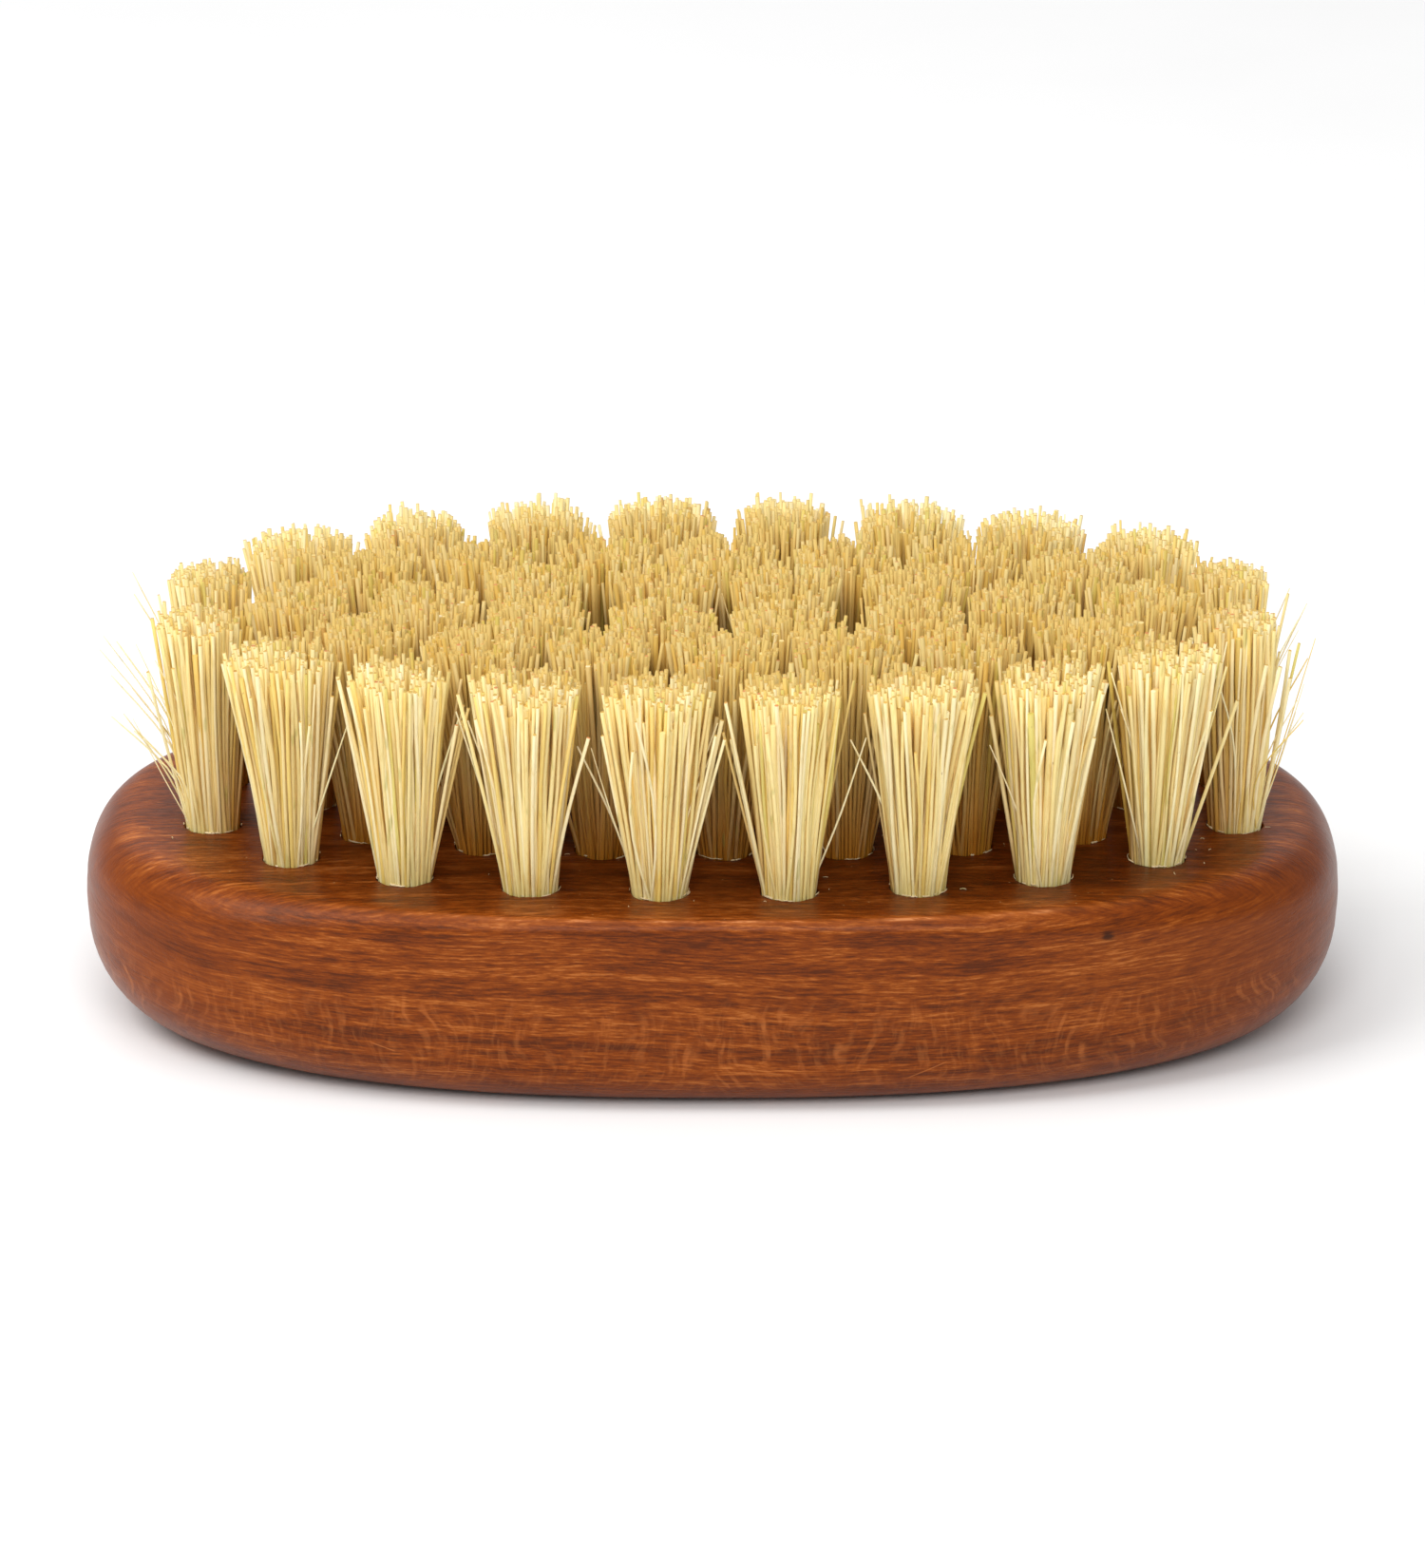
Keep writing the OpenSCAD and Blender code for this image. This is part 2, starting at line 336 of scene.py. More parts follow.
    # Dust and lint specks that cling to the face between the tufts.
    d, c2 = m.voronoi(p, 0.9)
    pick = m.t.nodes.new("ShaderNodeSeparateColor")
    m.put(pick.inputs[0], c2)
    speck = m.math("MULTIPLY", m.math("SUBTRACT", 1.0, m.smooth(d, 0.045, 0.085)), m.smooth(pick.outputs[0], 0.70, 0.74))
    face = m.smooth(nz, 0.93, 0.99)
    col = m.mix(m.math("MULTIPLY", m.math("MULTIPLY", speck, face), 0.5), col, lin(196, 160, 110))
    m.put(m.bsdf.inputs["Base Color"], col)
    rough = m.math("ADD", 0.36, m.math("MULTIPLY", m.math("SUBTRACT", f2, 0.5), 0.22))
    rough = m.math("ADD", rough, m.math("MULTIPLY", m.math("SUBTRACT", patch, 0.5), 0.14))
    m.put(m.bsdf.inputs["Roughness"], rough)
    m.bsdf.inputs["Specular IOR Level"].default_value = 0.12
    m.bsdf.inputs["Specular Tint"].default_value = (1.0, 0.66, 0.42, 1.0)
    m.bsdf.inputs["Coat Weight"].default_value = 0.16
    m.bsdf.inputs["Coat Roughness"].default_value = 0.32
    h = m.math("MULTIPLY", m.math("ADD", m.math("MULTIPLY", f3, 0.6), m.math("MULTIPLY", f2, 0.5)), soft)
    h = m.math("SUBTRACT", h, m.math("MULTIPLY", pore, 0.35))
    orange = m.noise(m.vmath("MULTIPLY", p, (1.6, 2.2, 2.2)), 1.0, 2.0, 0.5)
    h = m.math("ADD", h, m.math("MULTIPLY", orange, 0.5))
    grit = m.noise(m.join(m.math("MULTIPLY", x, 3.0), m.math("MULTIPLY", y, 7.0), m.math("MULTIPLY", z, 7.0)), 1.0, 2.0, 0.6)
    h = m.math("ADD", h, m.math("MULTIPLY", grit, 0.5))
    m.put(m.bsdf.inputs["Normal"], m.bump(h, 0.9, 0.045))
    m.put(m.bsdf.inputs["Coat Normal"], m.bump(h, 0.8, 0.032))
    return m.mat


def fibre_material(name):
    m = Nodes(name)
    p = m.coords()
    x, y, z = m.split(p)
    base = m.attr("tint")
    # Long pale and dark runs inside each fibre, and short flecks of leaf skin.
    run = m.noise(m.join(m.math("MULTIPLY", x, 2.2), m.math("MULTIPLY", y, 2.2), m.math("MULTIPLY", z, 0.22)), 1.0, 3.0, 0.6)
    col = m.mix(m.smooth(run, 0.50, 0.72), base, m.mix(1.0, base, (1.05, 1.06, 1.10), "MULTIPLY"))
    col = m.mix(m.math("SUBTRACT", 1.0, m.smooth(run, 0.30, 0.46)), col, m.mix(1.0, base, (0.93, 0.89, 0.78), "MULTIPLY"))
    fleck = m.noise(m.join(m.math("MULTIPLY", x, 3.5), m.math("MULTIPLY", y, 3.5), m.math("MULTIPLY", z, 0.9)), 1.0, 2.0, 0.6)
    col = m.mix(m.math("MULTIPLY", m.smooth(fleck, 0.72, 0.80), 0.65), col, lin(150, 116, 58))
    green = m.noise(m.join(m.math("MULTIPLY", x, 1.3), m.math("MULTIPLY", y, 1.3), m.math("MULTIPLY", z, 0.16)), 1.0, 1.0, 0.5)
    col = m.mix(m.math("MULTIPLY", m.smooth(green, 0.66, 0.76), 0.45), col, lin(178, 172, 84))
    m.put(m.bsdf.inputs["Base Color"], col)
    m.put(m.bsdf.inputs["Roughness"], m.math("ADD", 0.46, m.math("MULTIPLY", run, 0.22)))
    m.bsdf.inputs["Specular IOR Level"].default_value = 0.25
    h = m.noise(m.join(m.math("MULTIPLY", x, 9.0), m.math("MULTIPLY", y, 9.0), m.math("MULTIPLY", z, 0.8)), 1.0, 2.0, 0.6)
    m.put(m.bsdf.inputs["Normal"], m.bump(h, 0.5, 0.03))
    return m.mat


def steel_material():
    m = Nodes("anchor_steel")
    p = m.coords()
    n = m.noise(m.vmath("MULTIPLY", p, (9.0, 0.8, 9.0)), 1.0, 3.0, 0.6)
    m.put(m.bsdf.inputs["Base Color"], m.ramp(n, [(0.3, (0.42, 0.42, 0.43)), (0.7, (0.66, 0.66, 0.67))]))
    m.bsdf.inputs["Metallic"].default_value = 1.0
    m.put(m.bsdf.inputs["Roughness"], m.math("ADD", 0.22, m.math("MULTIPLY", n, 0.25)))
    m.put(m.bsdf.inputs["Normal"], m.bump(n, 0.3, 0.02))
    return m.mat


def floor_material():
    m = Nodes("pale_floor")
    p = m.coords()
    n = m.noise(m.vmath("MULTIPLY", p, (0.02, 0.02, 0.02)), 1.0, 3.0, 0.5)
    m.put(m.bsdf.inputs["Base Color"], m.ramp(n, [(0.3, (0.94, 0.94, 0.94)), (0.7, (0.96, 0.96, 0.96))]))
    m.bsdf.inputs["Roughness"].default_value = 0.9
    m.bsdf.inputs["Specular IOR Level"].default_value = 0.1
    return m.mat


WOOD = [lin(80, 33, 8), lin(105, 45, 7), lin(121, 54, 8), lin(138, 68, 16), lin(166, 94, 40)]
WOOD_FLECK = lin(194, 114, 56)
KNOT = (33.5, -25.7, 14.8)
SCRATCHES = [(18.2, 3.6, 0.42, 2.1), (-28.0, 5.2, -0.30, 1.2)]

wood = wood_material()
fibre = fibre_material("plant_fibre")
steel = steel_material()

# ---------------------------------------------------------------- the wooden block


def block_outline(count):
    """Evenly spaced points of the oval with their outward normals."""
    t = np.linspace(0, 2 * np.pi, 7201)
    c, s = np.cos(t), np.sin(t)
    px = HALF_L * np.sign(c) * np.abs(c) ** (2 / POWER)
    py = HALF_W * np.sign(s) * np.abs(s) ** (2 / POWER)
    run = np.r_[0, np.cumsum(np.hypot(np.diff(px), np.diff(py)))]
    v = (np.arange(count) + 0.5) * run[-1] / count
    px, py = np.interp(v, run, px), np.interp(v, run, py)
    gx = np.sign(px) * np.abs(px / HALF_L) ** (POWER - 1) / HALF_L
    gy = np.sign(py) * np.abs(py / HALF_W) ** (POWER - 1) / HALF_W
    g = np.hypot(gx, gy)
    return px, py, gx / g, gy / g


def build_block():
    count = 288
    px, py, nx, ny = block_outline(count)
    share = (np.abs(px) / HALF_L) ** 2
    top_r = TOP_SIDE + (TOP_END - TOP_SIDE) * share
    low_r = LOW_SIDE + (LOW_END - LOW_SIDE) * share
    rings, arris = [], []

    def ring(inset, z, mark=0.0):
        rings.append(np.stack([px - nx * inset, py - ny * inset, z * np.ones(count)], 1))
        arris.append(mark)

    ring(low_r + 0.6 * MM, 0.0)
    for a in np.linspace(0, math.pi / 2, 15):
        ring(low_r * (1 - math.sin(a)), low_r * (1 - math.cos(a)))
    for f in (0.25, 0.5, 0.75):
        # The side swells very slightly between its two edges.
        z = low_r + (TOP - top_r - low_r) * f
        ring(-0.10 * MM * math.sin(math.pi * f), z)
    # The mark on the top roundover is a narrow band where the material paints the rim highlight.
    for k, a in enumerate(np.linspace(0, math.pi / 2, 19)):
        ring(top_r * (1 - math.cos(a)), TOP - top_r * (1 - math.sin(a)), math.exp(-((a - 1.12) / 0.17) ** 2))
    ring(top_r + 0.45 * MM, TOP)

    bm = bmesh.new()
    layer = bm.verts.layers.float.new("arris")
    grid = []
    for r, mark in zip(rings, arris):
        row = [bm.verts.new(p) for p in r]
        for v in row:
            v[layer] = mark
        grid.append(row)
    for a, b in zip(grid[:-1], grid[1:]):
        for i in range(count):
            j = (i + 1) % count
            bm.faces.new((a[i], a[j], b[j], b[i]))
    # Underside: one flat face.
    bm.faces.new(list(reversed(grid[0])))
    # Tuft face: a flat sheet with a round opening for every hole.
    rng = np.random.default_rng(11)
    sides = 36
    pts, edges, loops = [Vector((v.co.x, v.co.y)) for v in grid[-1]], [], []
    edges += [(i, (i + 1) % count) for i in range(count)]
    owner = list(grid[-1])
    for t in tufts:
        start = len(pts)
        ph = rng.uniform(0, 6.28, 3)
        ring_pts = []
        for k in range(sides):
            a = 2 * math.pi * k / sides
            wobble = 1 + 0.010 * math.sin(3 * a + ph[0]) + 0.008 * math.sin(7 * a + ph[1]) + 0.006 * math.sin(12 * a + ph[2])
            r = (HOLE_R + 0.16 * MM) * wobble
            q = Vector((t.base[0] + r * math.cos(a), t.base[1] + r * math.sin(a)))
            ring_pts.append((a, wobble))
            pts.append(q)
            v = bm.verts.new((q.x, q.y, TOP))
            owner.append(v)
        edges += [(start + k, start + (k + 1) % sides) for k in range(sides)]
        loops.append((t, start, ring_pts))
    out_v, _, out_f, orig_v, _, _ = delaunay_2d_cdt(pts, edges, [], 0, 1e-9)
    back = [owner[o[0]] for o in orig_v]
    centres = np.array([t.base for t in tufts])
    for f in out_f:
        c = sum((out_v[i] for i in f), Vector((0, 0))) / len(f)
        d = np.hypot(centres[:, 0] - c.x, centres[:, 1] - c.y).min()
        if d < HOLE_R:
            continue
        tri = [back[i] for i in f]
        n = (tri[1].co - tri[0].co).cross(tri[2].co - tri[0].co)
        bm.faces.new(tri if n.z > 0 else list(reversed(tri)))
    # The holes: a small worn lip, then a straight wall, then the floor.
    for t, start, ring_pts in loops:
        prev = owner[start:start + sides]
        sharp = [prev]
        for extra, depth in ((0.05, 0.07), (0.0, 0.17), (0.0, 2.4)):
            row = []
            for a, wobble in ring_pts:
                r = (HOLE_R + extra * MM) * (1 + (wobble - 1) * (0.7 if depth < 1 else 0.1))
                row.append(bm.verts.new((t.base[0] + r * math.cos(a), t.base[1] + r * math.sin(a), TOP - depth * MM)))
            for k in range(sides):
                j = (k + 1) % sides
                bm.faces.new((prev[k], prev[j], row[j], row[k]))
            prev = row
        sharp.append(prev)
        bm.faces.new(prev)
        for loop in sharp:
            for k in range(sides):
                e = bm.edges.get((loop[k], loop[(k + 1) % sides]))
                if e:
                    e.smooth = False
    for f in bm.faces:
        f.smooth = True
    bmesh.ops.recalc_face_normals(bm, faces=bm.faces)
    mesh = bpy.data.meshes.new("wooden_block")
    bm.to_mesh(mesh)
    bm.free()
    mesh.materials.append(wood)
    o = new_object("wooden_block", mesh)
    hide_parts("block")
    return o


# ---------------------------------------------------------------- fibres


def tubes(paths, radii, sides, spin, cells, tint_side, tint_tip, taper_tip=None):
    """Closed tubes along many paths at once. paths is (N, K, 3), radii is
    (N, 2) for the two half thicknesses, spin is (N,). Returns the arrays
    of one mesh, with a UV strip of its own for every tube."""
    n, k, _ = paths.shape
    tang = np.gradient(paths, axis=1)
    tang /= np.linalg.norm(tang, axis=2, keepdims=True)
    ref = np.stack([np.cos(spin), np.sin(spin), 0.013 * np.ones(n)], 1)[:, None, :]
    u = np.cross(tang, np.broadcast_to(ref, tang.shape))
    u /= np.maximum(np.linalg.norm(u, axis=2, keepdims=True), 1e-9)
    v = np.cross(tang, u)
    a = np.arange(sides) * 2 * np.pi / sides
    ra = radii[:, 0][:, None, None, None]
    rb = radii[:, 1][:, None, None, None]
    swell = np.ones((n, k))
    if taper_tip is not None:
        swell = np.interp(np.linspace(0, 1, k), *taper_tip)[None, :] * np.ones((n, 1))
    swell = swell[:, :, None, None]
    ring = paths[:, :, None, :] + swell * (
        ra * np.cos(a)[None, None, :, None] * u[:, :, None, :]
        + rb * np.sin(a)[None, None, :, None] * v[:, :, None, :])
    verts = ring.reshape(-1, 3)
    i = np.arange(sides)
    j = (i + 1) % sides
    kk = np.arange(k - 1)[:, None]
    quad = np.stack([kk * sides + i, kk * sides + j, (kk + 1) * sides + j, (kk + 1) * sides + i], 2).reshape(-1, 4)
    off = (np.arange(n) * k * sides)[:, None, None]
    quads = (quad[None] + off).reshape(-1, 4)
    cap0 = np.arange(sides)[::-1][None] + (np.arange(n) * k * sides)[:, None]
    cap1 = (np.arange(sides) + (k - 1) * sides)[None] + (np.arange(n) * k * sides)[:, None]
    # UVs: tube c has a cell of a cells x cells sheet; U runs round, V along.
    cu = (np.arange(n) % cells) / cells
    cv = (np.arange(n) // cells) / cells
    pad = 0.10 / cells
    w = 1.0 / cells - 2 * pad
    uu = np.stack([i, i + 1, i + 1, i], 1)[None].repeat(k - 1, 0).reshape(-1, 4) / sides
    vv = np.stack([kk + 0 * i, kk + 0 * i, kk + 1 + 0 * i, kk + 1 + 0 * i], 2).reshape(-1, 4) / (k - 1) * 0.86
    uvq = np.stack([
        cu[:, None, None] + pad + w * uu[None],
        cv[:, None, None] + pad + w * vv[None]], 3).reshape(-1, 2)
    cu_c = cu[:, None] + pad + w * (0.5 + 0.40 * np.cos(a))[None]
    cv_c = cv[:, None] + pad + w * (0.95 + 0.045 * np.sin(a))[None]
    uvc1 = np.stack([cu_c, cv_c], 2).reshape(-1, 2)
    uvc0 = np.stack([cu[:, None] + pad + w * (0.5 + 0.40 * np.cos(a))[None], cv[:, None] + pad + w * (0.01 + 0.008 * np.sin(a))[None]], 2).reshape(-1, 2)
    uv = np.concatenate([uvq, uvc0, uvc1])
    # Colours: shaded from root to tip along the tube, the cut end its own.
    share = np.linspace(0, 1, k)
    side_col = tint_side(share)  # (N, K, 3)
    lo_c, hi_c = side_col[:, :-1], side_col[:, 1:]
    cq = np.stack([lo_c, lo_c, hi_c, hi_c], 2)[:, :, None].repeat(sides, 2).reshape(-1, 3)
    c0 = side_col[:, :1].repeat(sides, 1).reshape(-1, 3)
    c1 = tint_tip[:, None].repeat(sides, 1).reshape(-1, 3)
    cols = np.concatenate([cq, c0, c1])
    return verts, quads, np.concatenate([cap0, cap1]), uv, cols


def fibre_mesh(name, parts, material):
    """One mesh from several tubes() results that share a UV sheet."""
    verts, faces, uvs, cols, base = [], [], [], [], 0
    for v, q, c, uv, col in parts:
        verts.append(v)
        faces += (q + base).tolist()
        faces += (c + base).tolist()
        uvs.append(uv)
        cols.append(col)
        base += len(v)
    mesh = bpy.data.meshes.new(name)
    mesh.from_pydata(np.concatenate(verts).tolist(), [], faces)
    uv = np.concatenate(uvs).astype(np.float32)
    col = np.concatenate(cols).astype(np.float32)
    layer = mesh.uv_layers.new(name="OFBake")
    layer.data.foreach_set("uv", uv.ravel())
    attr = mesh.color_attributes.new("tint", "FLOAT_COLOR", "CORNER")
    attr.data.foreach_set("color", np.concatenate([col, np.ones((len(col), 1), np.float32)], 1).ravel())
    mesh.polygons.foreach_set("use_smooth", [len(f) == 4 for f in faces] if False else [True] * len(faces))
    # The cut ends stay crisp.
    smooth = np.ones(len(faces), bool)
    n = 0
    for v, q, c, _, _ in parts:
        smooth[n + len(q): n + len(q) + len(c)] = False
        n += len(q) + len(c)
    mesh.polygons.foreach_set("use_smooth", smooth)
    mesh.materials.append(material)
    mesh.validate(clean_customdata=False)
    mesh.update()
    return mesh


PALE = np.array(lin(247, 233, 186))
CREAM = np.array(lin(242, 221, 154))
GOLD = np.array(lin(236, 204, 112))
GREEN = np.array(lin(224, 210, 116))
BROWN = np.array(lin(190, 146, 74))
ROOT = np.array([0.93, 0.95, 0.80])
# Multipliers for the painted shade in the fibres inside the field, near the root and near the top.
INNER_SHADE_LOW = np.array([0.60, 0.29, 0.055])
INNER_SHADE_TOP = np.array([0.80, 0.70, 0.48])
TIP = np.array(lin(206, 168, 88))
PEACH = np.array(lin(210, 162, 88))
RUST = np.array(lin(208, 138, 84))


def fibre_colours(rng, n, pale=0.24):
    """A tint for each fibre: mostly cream, some pale, golden or green."""
    pick = rng.random(n)
    c = np.where(pick[:, None] < pale, PALE, CREAM)
    c = np.where(pick[:, None] > 0.84, GOLD, c)
    c = np.where(pick[:, None] > 0.955, GREEN, c)
    c = np.where(pick[:, None] > 0.992, BROWN, c)
    c = c * (1 + rng.normal(0, 0.035, (n, 1))) * (1 + rng.normal(0, 0.012, (n, 3)))
    tip_pick = rng.random(n)
    tip = np.where(tip_pick[:, None] < 0.84, TIP, PEACH)
    tip = np.where(tip_pick[:, None] > 0.972, RUST, tip)
    tip = tip * (1 + rng.normal(0, 0.04, (n, 1)))
    return np.clip(c, 0, 0.95), np.clip(tip, 0, 0.95)


def shade_along(c, outer=None, root_from=0.0, root_to=0.45):
    """Colour from root to tip: olive at the root, and painted shade, darker and deeper gold,
    low down in the fibres that stand inside the field (outer is 0 there, 1 outside)."""
    if outer is None:
        outer = np.ones(len(c))

    def tint(share):
        f = np.clip((share - root_from) / (root_to - root_from), 0, 1)
        f = f * f * (3 - 2 * f)
        mult = ROOT[None, None, :] + (1 - ROOT[None, None, :]) * f[None, :, None]
        up = np.clip((share - 0.10) / 0.72, 0, 1)
        up = up * up * (3 - 2 * up)
        # Painted shade: inside the field the fibres are darkened, most near the root.
        inner_shade = INNER_SHADE_LOW[None, :] + (INNER_SHADE_TOP - INNER_SHADE_LOW)[None, :] * up[:, None]
        shade_mult = inner_shade[None] + (1 - inner_shade[None]) * outer[:, None, None]
        return c[:, None, :] * mult * shade_mult
    return tint


def unshaded(x, y):
    """1 on the outer faces of the tuft field, 0 inside it, where the fibres get painted shade."""
    r = np.sqrt(((x - FIELD_X) / (46.5 * MM)) ** 2 + (y / (23.0 * MM)) ** 2)
    f = np.clip((r - 0.91) / 0.17, 0, 1)
    return f * f * (3 - 2 * f)


def bundle_paths(rng, t, n, heights):
    """Paths of one tuft's fibres: packed in the hole, opening to the top."""
    i = np.arange(n)
    golden = math.pi * (3 - math.sqrt(5))
    th = i * golden + rng.uniform(0, 2 * math.pi)
    rr = np.sqrt((i + 0.5) / n)
    rr = rr ** 0.88
    jit = rng.normal(0, 0.035, (n, 2))
    unit = np.stack([rr * np.cos(th), rr * np.sin(th)], 1) + jit
    length = np.hypot(*unit.T)
    unit *= np.minimum(1.0, 1.0 / np.maximum(length, 1e-9))[:, None]
    root = t.base + unit * (t.root_r - 0.15 * MM)
    # At the top the fibres drift into small clumps with gaps between.
    spread = unit * (1 + rng.normal(0, 0.05, (n, 1))) + rng.normal(0, 0.075, (n, 2))
    ck = 17
    ci = np.arange(ck)
    cc = np.sqrt((ci + 0.5) / ck)[:, None] * np.stack([np.cos(ci * golden + 1.3), np.sin(ci * golden + 1.3)], 1)
    cc += rng.normal(0, 0.07, cc.shape)
    near = ((spread[:, None] - cc[None]) ** 2).sum(2).argmin(1)
    spread += (cc[near] - spread) * rng.uniform(0.05, 0.36, (n, 1))
    # The bundles at the two ends are tighter, those along the sides looser.
    top_r = (t.wide + 0.25 * math.sin(2.3 * t.i)) * MM
    top = t.top - np.array([t.pull * MM, 0]) + spread * top_r
    h = heights
    share = np.array([-0.085, 0.0, 0.10, 0.24, 0.40, 0.58, 0.78, 1.0])
    k = len(share)
    f = np.clip(share, 0, 1)
    open_up = (0.86 * f + 0.14 * f ** 2)[None, :, None]
    xy = root[:, None, :] + (top - root)[:, None, :] * open_up
    bend = rng.normal(0, 0.16 * MM, (n, 2))
    wave = rng.normal(0, 0.07 * MM, (n, 2))
    ph = rng.uniform(0, 6.28, (n, 1))
    xy += bend[:, None, :] * np.sin(np.pi * f)[None, :, None]
    xy += wave[:, None, :] * (np.sin(2 * np.pi * f[None, :] * 1.3 + ph) * f[None, :] ** 0.5)[:, :, None]
    z = TOP + share[None, :] * h[:, None]
    return np.concatenate([xy, z[:, :, None]], 2)


def build_tuft(t):
    rng = np.random.default_rng(1000 + t.i)
    n = int(rng.integers(222, 240))
    trim = t.top_z - TOP - 0.05 * MM
    # Cut level, a little lower where the outer fibres splay.
    far = (np.arange(n) + 0.5) / n
    h = trim + 0.15 * MM - 0.75 * MM * far ** 1.6 + rng.normal(0, 0.24 * MM, n)
    short = rng.random(n) < 0.14
    h -= np.where(short, rng.uniform(0.3, 1.3, n), 0) * MM
    proud = rng.random(n) < 0.09
    h += np.where(proud, rng.uniform(0.25, 1.25, n), 0) * MM
    h = np.minimum(h, t.top_z - TOP + 1.05 * MM)
    paths = bundle_paths(rng, t, n, h)
    c, tip = fibre_colours(rng, n)
    mid = paths[:, 5, :2]
    # outer is 0 inside the field, where the fibres get painted shade.
    outer = unshaded(mid[:, 0], mid[:, 1])
    thick = rng.normal(0.174, 0.026, n).clip(0.115, 0.24) * MM
    flat = rng.uniform(0.7, 1.0, n)
    spin = rng.uniform(0, np.pi, n)
    radii = np.stack([thick, thick * flat], 1)
    # A few stray fibres lean out past the tuft or cross its neighbours.
    thin_count, flared = int(rng.integers(3, 7)), int(rng.integers(6, 11))
    m = thin_count + flared
    strays = bundle_paths(rng, t, m, trim * rng.uniform(0.74, 1.01, m))
    for s in range(m):
        a = rng.uniform(0, 2 * math.pi)
        d = np.array([math.cos(a), math.sin(a)])
        f = np.linspace(0, 1, strays.shape[1])
        if s < thin_count:
            reach = rng.uniform(0.8, 2.9) * MM
            strays[s, :, :2] += (d * reach)[None] * (f ** rng.uniform(1.1, 1.7))[:, None]
        else:
            # From the rim of the hole, straight out past the bundle.
            start = t.base + d * (t.root_r - 0.2 * MM)
            end = t.top + d * (t.wide + rng.uniform(0.1, 1.6)) * MM
            share = np.clip((strays[s, :, 2] - TOP) / (strays[s, -1, 2] - TOP), 0, 1)[:, None]
            bow = rng.normal(0, 0.35) * MM
            strays[s, :, :2] = start + (end - start) * share + np.array([-d[1], d[0]]) * bow * np.sin(np.pi * share)
    paths = np.concatenate([paths, strays])
    cs, ts = fibre_colours(rng, m, 0.55)
    outer = np.concatenate([outer, np.maximum(0.15, unshaded(strays[:, 5, 0], strays[:, 5, 1]))])
    c, tip = np.concatenate([c, cs]), np.concatenate([tip, ts])
    thin = np.where(np.arange(m) < thin_count, rng.uniform(0.075, 0.125, m), rng.uniform(0.13, 0.19, m)) * MM
    radii = np.concatenate([radii, np.stack([thin, thin * 0.8], 1)])
    spin = np.concatenate([spin, rng.uniform(0, np.pi, m)])
    # Clip every point to the length of the CAD box, with 0.3 mm to spare.
    lim = np.array([CAD_HI.x, CAD_HI.y]) + 0.3 * MM
    paths[:, :, 0] = np.clip(paths[:, :, 0], -lim[0], lim[0])
    # Packed strands in the heart of the bundle, so no gap opens right through it.
    heart = np.random.default_rng(7000 + t.i)
    k = 72
    core = bundle_paths(heart, t, k, trim * heart.uniform(0.86, 0.96, k))
    axis = core.mean(0, keepdims=True)
    core[:, :, :2] = axis[:, :, :2] + (core[:, :, :2] - axis[:, :, :2]) * 0.84
    cc = fibre_colours(heart, k, 0.15)[0]
    outer = np.concatenate([outer, unshaded(core[:, 5, 0], core[:, 5, 1])])
    c, tip = np.concatenate([c, cc * np.array([0.95, 0.92, 0.82])]), np.concatenate([tip, cc * 0.9])
    thick = heart.uniform(0.22, 0.31, k) * MM
    paths = np.concatenate([paths, core])
    radii = np.concatenate([radii, np.stack([thick, thick * 0.9], 1)])
    spin = np.concatenate([spin, heart.uniform(0, np.pi, k)])
    c = c + (c.mean(0) - c) * 0.22
    part = tubes(paths, radii, 6, spin, 19, shade_along(c, outer), tip)
    mesh = fibre_mesh("bristles_" + t.name[5:], [part], fibre)
    o = new_object("bristles_" + t.name[5:], mesh)
    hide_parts(t.name)
    return o


CAD_LO, CAD_HI = Vector(CAD[0]), Vector(CAD[1])


def spline(points, k):
    """A smooth path of k points through a few given ones."""
    p = np.array(points, float)
    t = np.linspace(0, len(p) - 1, k)
    out = []
    for v in t:
        i = int(min(max(math.floor(v), 0), len(p) - 2))
        f = v - i
        p0, p1, p2, p3 = p[max(i - 1, 0)], p[i], p[i + 1], p[min(i + 2, len(p) - 1)]
        out.append(0.5 * ((2 * p1) + (-p0 + p2) * f + (2 * p0 - 5 * p1 + 4 * p2 - p3) * f ** 2 + (-p0 + 3 * p1 - 3 * p2 + p3) * f ** 3))
    return np.array(out)


